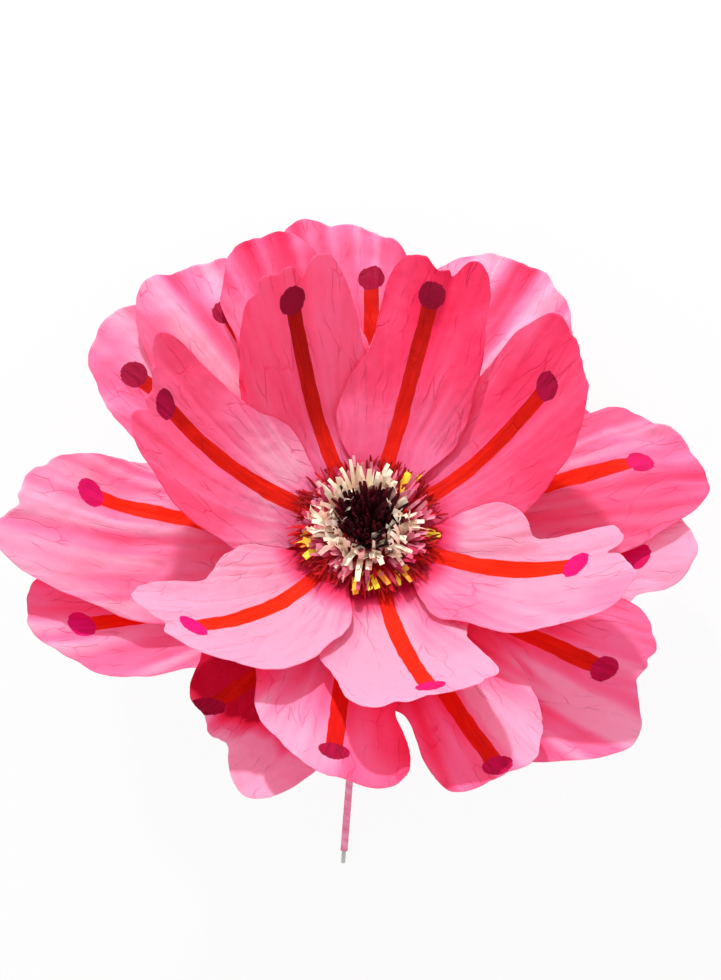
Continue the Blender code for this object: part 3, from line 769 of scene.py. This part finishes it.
def build_sheet(petal, materials):
    """The petal as a piece of paper with all that its paint needs."""
    along, across = np.meshgrid(
        np.linspace(-1, 1, GRID_ALONG + 1), np.linspace(-1, 1, GRID_ACROSS + 1), indexing="ij"
    )
    rho, tau = petal.plan(across, along)
    x, y = petal.place(rho, tau)
    top = np.stack([x, y, petal.height(rho, tau)], axis=-1)
    under = top - grid_normals(top) * SHEET_THICKNESS
    faces, kinds = sheet_faces(*rho.shape)
    points = np.concatenate([top.reshape(-1, 3), under.reshape(-1, 3)])
    lowest = FLOOR_CLEARANCE + np.repeat([SHEET_THICKNESS, 0], rho.size)
    replaced = ["petal_" + petal.name]
    piece = new_piece("paper_" + petal.name, points, faces, materials, replaced, lowest)
    piece.data.polygons.foreach_set("material_index", kinds)
    from_spine = (tau - petal.side(rho)) / MM
    length = spine_length(petal, rho)
    share = np.clip(petal.length_share(rho), 0, 1.2)
    # The paint's depth is painted shade: darker stripes and dots on backlit and shaded petals.
    depth, shift, nearer = PAINT_AND_PAINTED_LIGHT[petal.name][4:]
    from_paint = from_spine - shift * share**2
    past_dot = length - spine_length(petal, petal.dot - nearer * MM)
    side = from_spine * MM / petal.half_width
    place = np.stack([from_spine + SHEET_SPACING * petal.seed, length, np.zeros_like(length)], axis=-1)
    give_numbers(piece, "sheet_mm", np.tile(place.reshape(-1, 3), (2, 1)))
    stripe, dot = np.hypot(from_paint, np.maximum(past_dot, 0)), np.hypot(from_paint, past_dot)
    tone, red = tone_and_painted_light_of(petal, rho, tau, share, side)
    # The fringe's painted red shadow also darkens the stripes and dots near the hub.
    deeper = depth * (DEPTH_AT_HUB + (1 - DEPTH_AT_HUB) * np.clip(share, 0, 1)) + FRINGE_SHADOW_ON_PAINT * red
    for name, values in (("stripe_mm", stripe), ("dot_mm", dot), ("tone", tone), ("depth", deeper)):
        give_numbers(piece, name, np.tile(values.ravel(), 2))
    return piece, top


# %% [markdown]
# The petals are handmade paper: matt, a little rough, and thin enough for light to come through it. The
# eye reads it from three things. Its colour changes softly like a wash of watercolour, and the tone that
# sets it also carries painted shade and painted light through the petals. Fine creases run mostly
# outwards, drawn a little darker as painted shade in them. And a share of the light goes through, so the
# paper is a mix of a matt shader and a translucent one. The stripe and the dot are gouache, which lets
# hardly any light through and has the uneven edge that a brush leaves.

# %% Petal paper
PAPER_ROUGHNESS, PAPER_GLOSS = 0.72, 0.15
CREASE_ACROSS, CREASE_ALONG = 11, 60
CREASE_WIDTH, CREASE_DEPTH, CREASE_SHADE = 0.045, 0.8, 0.15
CREASED_FROM, CREASED_TO = 0.45, 0.65
BEND_SIZE, BEND, PATCH_SIZE, CRUMPLE_SIZE = (30, 45, 1), (14, 30, 0), (24, 40, 1), (11, 17, 1)
HAIR_SIZE, BRUSH_EDGE, BRUSH_DEPTH = (3.2, 30, 1), 0.6, 0.36
# Real paper tooth is about 0.4 mm, which is under half a pixel here, so it is drawn coarser.
TOOTH_SIZE, TOOTH_RISE = 1.8, 0.2
DOT_RADIUS = 13.5
THROUGH_PAPER, THROUGH_PAINT, THROUGH_TINT = 0.5, 0.06, 0.4
TONE_COLOURS = ((0.0, "#FFCAE8"), (0.25, "#FF98CA"), (0.55, "#FF649A"), (0.78, "#FC4078"), (1.0, "#D81048"))
# The darker ends of the stripe's and the dot's colours are painted shade on backlit and shaded petals.
STRIPE_COLOURS = ((0.0, "#FC2800"), (0.5, "#DC1200"), (1.0, "#9C0000"))
DOT_COLOURS = ((0.0, "#EA0C7E"), (0.45, "#C60450"), (0.8, "#90002E"))


def crease_lines(add, place):
    """Thin broken lines, 1 on a crease and 0 on the flat paper between, as a socket."""
    wide = add("VectorMath", (place, BEND_SIZE), operation="DIVIDE")
    bent = add("TexNoise", {"Vector": wide, "Scale": 1.0}, out=1, noise_dimensions="2D")
    warp = add("VectorMath", (bent, BEND), operation="MULTIPLY")
    moved = add("VectorMath", (place, warp), operation="ADD")
    cells = add("VectorMath", (moved, (CREASE_ACROSS, CREASE_ALONG, 1)), operation="DIVIDE")
    flat = {"voronoi_dimensions": "2D", "feature": "DISTANCE_TO_EDGE"}
    edges = add("TexVoronoi", {"Vector": cells, "Scale": 1.0}, **flat)
    line = add("MapRange", (edges, 0, CREASE_WIDTH, 1, 0))
    patches = add("VectorMath", (place, PATCH_SIZE), operation="DIVIDE")
    here = add("TexNoise", {"Vector": patches, "Scale": 1.0}, noise_dimensions="2D")
    kept = add("MapRange", (here, CREASED_FROM, CREASED_TO))
    return add("Math", (line, kept), operation="MULTIPLY")


def paper_relief(add, place, creases):
    """The paper's tooth, its small crumples and its creases as a bump."""
    grain = {"Vector": place, "Scale": 1 / TOOTH_SIZE, "Detail": 1.0}
    tooth = add("TexNoise", grain, noise_dimensions="2D")
    cells = add("VectorMath", (place, CRUMPLE_SIZE), operation="DIVIDE")
    crumple = add("TexVoronoi", {"Vector": cells, "Scale": 1.0}, voronoi_dimensions="2D")
    height = add("Math", (tooth, TOOTH_RISE, crumple), operation="MULTIPLY_ADD")
    height = add("Math", (creases, -CREASE_DEPTH, height), operation="MULTIPLY_ADD")
    return add("Bump", {"Height": height, "Distance": 0.8 * MM, "Strength": 0.85})


def petal_paper(name, painted):
    material, add = new_material(name)
    place = add("Attribute", out="Vector", attribute_name="sheet_mm")
    tone = add("Attribute", out="Fac", attribute_name="tone")
    creases = crease_lines(add, place)
    # The creases are drawn darker in the paper's colour: painted shade.
    wash = add("Math", (creases, CREASE_SHADE, tone), operation="MULTIPLY_ADD")
    colour = add("ValToRGB", (wash,), steps=TONE_COLOURS)
    through_share = THROUGH_PAPER
    if painted:
        colour, on_paint = paint_stripe_and_dot(add, colour, place)
        through_share = add("MapRange", (on_paint, 0, 1, THROUGH_PAPER, THROUGH_PAINT))
    bump = paper_relief(add, place, creases)
    surface = {"Base Color": colour, "Roughness": PAPER_ROUGHNESS, "Normal": bump}
    surface["Specular IOR Level"] = PAPER_GLOSS
    matt = add("BsdfPrincipled", surface)
    tint = {0: THROUGH_TINT, 6: colour, 7: paint("#FF6E8E")}
    deeper = add("Mix", tint, out=2, data_type="RGBA", blend_type="MULTIPLY")
    through = add("BsdfTranslucent", {"Color": deeper, "Normal": bump})
    mixed = add("MixShader", (through_share, matt, through))
    add("OutputMaterial", (mixed,))
    return material


def paint_stripe_and_dot(add, colour, place):
    """The paper's colour with the red stripe and the magenta dot on it, and 1 where there is paint."""
    names = ("stripe_mm", "dot_mm", "depth")
    stripe, dot, depth = (add("Attribute", out="Fac", attribute_name=name) for name in names)
    hairs = add("VectorMath", (place, HAIR_SIZE), operation="DIVIDE")
    brush = {"Vector": hairs, "Scale": 1.0, "Detail": 1.0}
    brush = add("TexNoise", brush, noise_dimensions="2D")
    edge = add("MapRange", (brush, 0.3, 0.7, -BRUSH_EDGE, BRUSH_EDGE))
    deep = add("Math", (brush, BRUSH_DEPTH, -BRUSH_DEPTH / 2), operation="MULTIPLY_ADD")
    # The depth carries painted shade: it darkens stripes and dots on shaded and backlit petals and near the
    # fringe.
    deep = add("Math", (depth, deep), operation="ADD")
    covered = []
    for distance, reach, steps in ((stripe, STRIPE_HALF, STRIPE_COLOURS), (dot, DOT_RADIUS, DOT_COLOURS)):
        wavy = add("Math", (distance, edge), operation="ADD")
        covered.append(add("MapRange", (wavy, reach - 0.3, reach + 0.3, 1, 0)))
        gouache = add("ValToRGB", (deep,), steps=steps)
        colour = add("Mix", {0: covered[-1], 6: colour, 7: gouache}, out=2, data_type="RGBA")
    return colour, add("Math", covered, operation="MAXIMUM")


PETAL_MATERIALS = (petal_paper("painted_handmade_paper", True), petal_paper("plain_handmade_paper", False))
SHEETS = {}
for petal in PETALS:
    piece, top = build_sheet(petal, PETAL_MATERIALS)
    SHEETS[petal.name] = (petal, top)
    low, high = (np.array(corner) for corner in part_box("petal_" + petal.name))
    room = to_room(top.reshape(-1, 3))
    away = max(np.abs(room.min(axis=0) - low).max(), np.abs(room.max(axis=0) - high).max())
    print(piece.name, "differs from its solid's box by", round(float(away / MM), 1), "mm")

# %% [markdown]
# A wire runs down the back of every petal and holds it up. It is florists' wire, covered in white paper
# tape, so the eye sees a matt white cord and no metal. It is a tube that follows the middle of the
# sheet's back. It ends under the dot, or further out on the few petals whose dot is painted nearer to the
# hub. The same tube function makes the stem.

# %% Tubes
WIRE_RADIUS = 0.8 * MM
WIRE_GAP = 0.35 * MM
WIRE_SIDES = 10


def rod_faces(steps, sides):
    """Faces of a closed rod: its sides from ring to ring, and its two ends."""
    faces = []
    for s in range(steps):
        for k in range(sides):
            a, b = s * sides + k, s * sides + (k + 1) % sides
            faces.append([b, a, a + sides, b + sides])
    faces.append(list(range(sides)))
    faces.append([steps * sides + k for k in range(sides)][::-1])
    return faces


def tube(path, radii, sides):
    """Points and faces of a round closed rod along a path, with a radius at every point of the path."""
    tangents = np.gradient(path, axis=0)
    tangents /= np.linalg.norm(tangents, axis=1, keepdims=True)
    side = np.cross(tangents[0], (0, 0, 1))
    if np.linalg.norm(side) < 0.1:
        side = np.cross(tangents[0], (0, 1, 0))
    turns = 2 * math.pi * np.arange(sides) / sides
    points = []
    for point, tangent, radius in zip(path, tangents, radii):
        side = side - tangent * np.dot(side, tangent)
        side /= np.linalg.norm(side)
        other = np.cross(tangent, side)
        points.append(point + radius * (np.outer(np.cos(turns), side) + np.outer(np.sin(turns), other)))
    return np.concatenate(points), rod_faces(len(path) - 1, sides)


def matt_surface(add, colour, height, roughness, bump_height, bump_strength, gloss=0.3):
    """Dyed paper or card that nothing shines through, with a small bump, as the end of its material."""
    bump = add("Bump", {"Height": height, "Distance": bump_height, "Strength": bump_strength})
    surface = {"Base Color": colour, "Roughness": roughness, "Specular IOR Level": gloss, "Normal": bump}
    add("OutputMaterial", (add("BsdfPrincipled", surface),))


def wrapped_paper(name, steps, turn_size, roughness):
    """Paper tape wound round a wire or a rod: each turn's edge shows as a fine ridge."""
    material, add = new_material(name)
    place = add("Attribute", out="Vector", attribute_name="wound_mm")
    winding = {"Vector": place, "Scale": 0.5 / turn_size, "Distortion": 0.6}
    turns = add("TexWave", winding, out="Fac", wave_profile="SAW")
    mottle = add("TexNoise", {"Vector": place, "Scale": 1 / 6, "Detail": 3.0})
    colour = add("ValToRGB", (mottle,), steps=steps)
    height = add("Math", (mottle, 0.5, turns), operation="MULTIPLY_ADD")
    matt_surface(add, colour, height, roughness, 0.3 * MM, 0.6)
    return material


def give_winding(piece, path, sides, step=1.0):
    """Place along a wound tube in millimetres, turned as it goes round, so that the turns slant."""
    round_share = np.arange(sides) / sides
    slanted = distances(path)[:, None] / MM + step * np.minimum(round_share, 1 - round_share)[None, :] * 2
    turned = np.broadcast_to(round_share, slanted.shape) * 6
    place = np.stack([slanted, turned, np.zeros_like(slanted)], axis=-1)
    give_numbers(piece, "wound_mm", place.reshape(-1, 3))


# %% Wires on the backs
WIRE_TAPE = wrapped_paper("white_paper_tape", ((0.3, "#E4DBD6"), (0.7, "#F4EEEA")), 3.0, 0.8)


def build_wire(name, petal, top):
    middle = GRID_ACROSS // 2
    line = top[:, middle] - grid_normals(top)[:, middle] * (SHEET_THICKNESS + WIRE_GAP + WIRE_RADIUS)
    distance = np.hypot(line[:, 0], line[:, 1])
    kept = line[(distance <= petal.dot) & (distance >= PETAL_START + 6 * MM)]
    points, faces = tube(kept, np.full(len(kept), WIRE_RADIUS), WIRE_SIDES)
    piece = new_piece("taped_wire_" + name, points, faces, [WIRE_TAPE], ["wire_" + name])
    give_winding(piece, kept, WIRE_SIDES)


for name, (petal, top) in SHEETS.items():
    build_wire(name, petal, top)
print("wires:", len(SHEETS))

# %% [markdown]
# The stem is a steel rod wrapped in pink paper tape. It leaves the flower's back, bends in a short neck
# and then runs straight. The solid's own formula gives the same line again, with more points. The tape's
# turns are real ridges here, because the stem is seen from close by in side views.

# %% Stem
STEM_WRAP_RADIUS = 3.7 * MM
STEM_BARE_END = 14 * MM
STEM_LENGTH = 292 * MM
NECK_LENGTH = 70 * MM
NECK_STEPS = 8
STEM_ANGLE = math.radians(50)
STEM_SIDES = 20
TAPE_TURN = 9.0
TAPE_RIDGE = 0.22 * MM
TAPE_COLOURS = ((0.25, "#F0709C"), (0.5, "#F891B6"), (0.75, "#FFB4CE"))


def own_heights(node):
    """Lowest and highest point of a solid along the flower's own axis."""
    points = np.array([tuple(v.co) for v in frame["nodes"][node].data.vertices])
    heights = (points - FLOWER_ORIGIN) @ FLOWER_TURN[:, 2]
    return heights.min(), heights.max()


def stem_line():
    """The bend points of the stem, from the front of the card to its cut end."""
    start = own_heights("backing_card")[0]
    points = [np.array((0, 0, own_heights("backing_card")[1])), np.array((0, 0, start))]
    runs = [((k + 0.5) / NECK_STEPS, NECK_LENGTH / NECK_STEPS) for k in range(NECK_STEPS)]
    runs.append((1, STEM_LENGTH - STEM_BARE_END))
    for share, length in runs:
        bend = STEM_ANGLE * share
        across = math.sin(bend)
        sine, cosine = math.sin(STEM_SIDE_ANGLE), math.cos(STEM_SIDE_ANGLE)
        points.append(points[-1] + length * np.array((-across * sine, -across * cosine, -math.cos(bend))))
    return np.array(points)


def walk(points, step):
    """A broken line read off at even steps."""
    lengths = distances(points)
    marks = np.linspace(0, lengths[-1], int(lengths[-1] / step))
    return np.stack([np.interp(marks, lengths, points[:, k]) for k in range(3)], axis=-1), marks


def build_stem():
    line, marks = walk(stem_line(), 1.2 * MM)
    saw = (marks / MM / TAPE_TURN) % 1
    radii = STEM_WRAP_RADIUS - 0.1 * MM + TAPE_RIDGE * saw
    points, faces = tube(line, radii, STEM_SIDES)
    tape = wrapped_paper("pink_paper_tape", TAPE_COLOURS, TAPE_TURN, 0.75)
    piece = new_piece("taped_stem", points, faces, [tape], ["stem_wrap"])
    give_winding(piece, line, STEM_SIDES, step=TAPE_TURN / 2)
    print("stem:", round(float(marks[-1] / MM)), "mm of wrapped rod")


build_stem()

# %% [markdown]
# The middle of the flower is a bush of narrow paper strips in rings: nearly black maroon inside, then
# ivory, raspberry, yellow, and a frayed crimson ring at the foot. Each strip is a thin ribbon that is
# glued at its root, leans outwards and curls. Hair particles would give round threads, so the ribbons are
# built one by one from a few random numbers: where each stands, how long it is, how it leans, curls and
# twists.

# %% Strips of the fringe
STRIP_THICKNESS = 0.3 * MM
STRIP_STEPS = 9
STRIP_SWING, STRIP_TWIST, CLUMP_SWING = 16, 34, 4
CURL_POWER, TAPER_FROM, TAPER_POWER = 1.6, 0.55, 1.5
FRINGE_DRAW = 11

# Root radii, length and width in millimetres, lean at the root and added curl in degrees, number of
# strips and how pointed their tips are. Strips with clumps stand only near those directions.
RING_FIELDS = ("roots", "length", "width", "lean", "curl", "count", "point", "clumps")
GOLD_CLUMPS = (50, 194, 204, 262, 278, 300, 350)
FRINGE_ROWS = {
    "maroon": ((0.5, 22), (29, 41), (3.8, 6.4), (-6, 30), (-12, 34), 150, 0.6, ()),
    "cream": ((22, 39), (19, 35), (3.6, 6.2), (-10, 52), (-70, 110), 165, 0.1, ()),
    "pink": ((34, 49), (15, 27), (3.0, 5.4), (24, 72), (-40, 60), 105, 0.2, ()),
    "gold": ((46, 55), (14, 21), (4.4, 6.6), (58, 92), (-10, 40), 24, 0.0, GOLD_CLUMPS),
    "red": ((44, 63), (8, 19), (1.2, 3.2), (56, 118), (-70, 70), 430, 0.7, ()),
}
FRINGE_RINGS = {name: dict(zip(RING_FIELDS, row)) for name, row in FRINGE_ROWS.items()}


def ribbon(root, turn, draw, ring):
    """Points of one strip: four corners at every step from its root to its tip."""
    length = draw.uniform(*ring["length"]) * MM
    half = draw.uniform(*ring["width"]) * MM / 2
    lean = math.radians(draw.uniform(*ring["lean"]))
    curl = math.radians(draw.uniform(*ring["curl"]))
    swing = math.radians(draw.normal(0, STRIP_SWING))
    twist = math.radians(draw.normal(0, STRIP_TWIST))
    outward = np.array((math.cos(turn + swing), math.sin(turn + swing), 0))
    aside = np.array((-outward[1], outward[0], 0))
    upward = np.array((0, 0, 1.0))
    share = np.linspace(0, 1, STRIP_STEPS + 1)
    angles = lean + curl * share**CURL_POWER
    headings = np.outer(np.sin(angles), outward) + np.outer(np.cos(angles), upward)
    steps = headings * length / STRIP_STEPS
    spine = root + np.concatenate([[np.zeros(3)], np.cumsum(steps[:-1], axis=0)])
    turned = twist * share
    flat = np.outer(np.cos(angles), outward) - np.outer(np.sin(angles), upward)
    wide = np.cos(turned)[:, None] * aside + np.sin(turned)[:, None] * flat
    thick = -np.sin(turned)[:, None] * aside + np.cos(turned)[:, None] * flat
    narrowed = np.clip((share - TAPER_FROM) / (1 - TAPER_FROM), 0, 1) ** TAPER_POWER
    taper = 1 - ring["point"] * narrowed
    wide = wide * (half * taper)[:, None]
    thick = thick * STRIP_THICKNESS / 2
    corners = [spine - wide - thick, spine + wide - thick, spine + wide + thick, spine - wide + thick]
    return np.stack(corners, axis=1)


def build_ring(name, ring, number):
    """All strips of one ring in one piece, rooted at random between its two radii."""
    draw = np.random.default_rng(FRINGE_DRAW + number)
    seat = own_heights("fringe_" + name)[0]
    faces = np.array(rod_faces(STRIP_STEPS, 4))
    points, all_faces, shades, reach = [], [], [], []
    for k in range(ring["count"]):
        radius = math.sqrt(draw.uniform(ring["roots"][0] ** 2, ring["roots"][1] ** 2)) * MM
        turn = draw.uniform(0, 2 * math.pi)
        if ring["clumps"]:
            turn = math.radians(ring["clumps"][k % len(ring["clumps"])] + draw.normal(0, CLUMP_SWING))
        root = np.array((radius * math.cos(turn), radius * math.sin(turn), seat))
        points.append(ribbon(root, turn, draw, ring).reshape(-1, 3))
        all_faces.append(faces + k * 4 * (STRIP_STEPS + 1))
        shades.append(np.full(4 * (STRIP_STEPS + 1), draw.uniform()))
        reach.append(np.repeat(np.linspace(0, 1, STRIP_STEPS + 1), 4))
    material = fringe_paper(name)
    slot = "fringe_" + name
    points, all_faces = np.concatenate(points), np.concatenate(all_faces)
    piece = new_piece("strips_" + name, points, all_faces, [material], [slot])
    piece.data.shade_flat()
    give_numbers(piece, "shade", np.concatenate(shades))
    give_numbers(piece, "reach", np.concatenate(reach))
    print(piece.name, ring["count"], "strips on a seat at", round(float(seat / MM), 1), "mm")


# %% [markdown]
# The strips are cut from coloured craft paper: matt and dyed right through, so that cut edges have the
# same colour as the faces. Every strip gets its own shade, because the real ones come from several
# sheets, and they darken towards the root as painted shade deep in the bush.

# %% Fringe paper
# Paper fibres are drawn 2 mm wide, because real ones couldn't be seen.
FIBRE_SIZE = 2 * MM
# Three shades of each paper, and its colour near the root, which is painted shade.
FRINGE_COLOURS = {
    "maroon": (("#38000C", "#540212", "#740A20"), "#2A0008"),
    "cream": (("#FFFBE2", "#FFF4D2", "#FFE0D4"), "#F6B4A8"),
    "pink": (("#F8A0B6", "#EA5C86", "#C4224E"), "#A81038"),
    "gold": (("#FFF04E", "#FFDE30", "#FBA640"), "#E0601E"),
    "red": (("#DC141C", "#B00814", "#7E0410"), "#700210"),
}


def fringe_paper(name):
    shades, painted_root_shade = FRINGE_COLOURS[name]
    material, add = new_material(name + "_craft_paper")
    shade = add("Attribute", out="Fac", attribute_name="shade")
    reach = add("Attribute", out="Fac", attribute_name="reach")
    colour = add("ValToRGB", (shade,), steps=tuple(zip((0.15, 0.6, 0.95), shades)))
    where = add("TexCoord", out="Object")
    fibre = add("TexNoise", {"Vector": where, "Scale": 1 / FIBRE_SIZE, "Detail": 3.0})
    # Fibres are drawn a little darker, and the strips darken towards the root as painted shade.
    for share in ((fibre, 0.3, 0.7, 0, 0.12), (reach, 0, 0.5, 0.7, 0)):
        darker = {0: add("MapRange", share), 6: colour, 7: paint(painted_root_shade)}
        colour = add("Mix", darker, out=2, data_type="RGBA")
    matt_surface(add, colour, fibre, 0.8, 0.2 * MM, 0.4, gloss=0.25)
    return material


for number, (name, ring) in enumerate(FRINGE_RINGS.items()):
    build_ring(name, ring, number)

# %% [markdown]
# Three solids keep their own shape and only get a finish: the rolled paper core that everything is glued
# round, the card disc behind it and the bare end of the steel rod. The core shows the edges of its rolled
# layers, the card has a soft grain, and the rod is zinc-coated steel with fine marks from being drawn.


# %% Core, card and rod
def card_finish(name, steps, grain_size, roughness):
    """Card or rolled paper: one soft grain for its colour and its bump."""
    material, add = new_material(name)
    where = add("TexCoord", out="Object")
    grain = {"Vector": where, "Scale": 1 / grain_size, "Detail": 4.0, "Roughness": 0.6}
    grain = add("TexNoise", grain)
    colour = add("ValToRGB", (grain,), steps=steps)
    matt_surface(add, colour, grain, roughness, 0.2 * MM, 0.5)
    return material


# The marks of a drawn rod run along it. They are drawn 4 mm apart, far coarser than real ones.
DRAWN_MARKS = (4 * MM, 30 * MM, 4 * MM)


def zinc_coated_steel():
    material, add = new_material("zinc_coated_steel")
    where = add("TexCoord", out="Object")
    along = add("VectorMath", (where, DRAWN_MARKS), operation="DIVIDE")
    drawn = add("TexNoise", {"Vector": along, "Scale": 1.0, "Detail": 3.0})
    colour = add("ValToRGB", (drawn,), steps=((0.3, "#A8A7A4"), (0.7, "#C9C8C5")))
    shade = add("MapRange", (drawn, 0.3, 0.7, 0.3, 0.45))
    surface = {"Base Color": colour, "Roughness": shade, "Metallic": 1.0}
    add("OutputMaterial", (add("BsdfPrincipled", surface),))
    return material


def refinish(node, material):
    """A new finish for a solid whose shape stays."""
    solid = frame["nodes"][node]
    solid.data.materials.clear()
    solid.data.materials.append(material)


ROLLED_EDGES = ((0.3, "#E8A8B0"), (0.7, "#F4C8CC"))
CARD_COLOURS = ((0.3, "#F478A4"), (0.7, "#FB98BC"))
refinish("hub_core", card_finish("rolled_paper_edges", ROLLED_EDGES, 1.5 * MM, 0.85))
refinish("backing_card", card_finish("pink_card", CARD_COLOURS, 3 * MM, 0.8))
refinish("stem_core", zinc_coated_steel())

# %% [markdown]
# Last come the measures.

# %% Measure and finish
low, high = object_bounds()
print("finished box in mm:", [round(s / MM) for s in high - low])
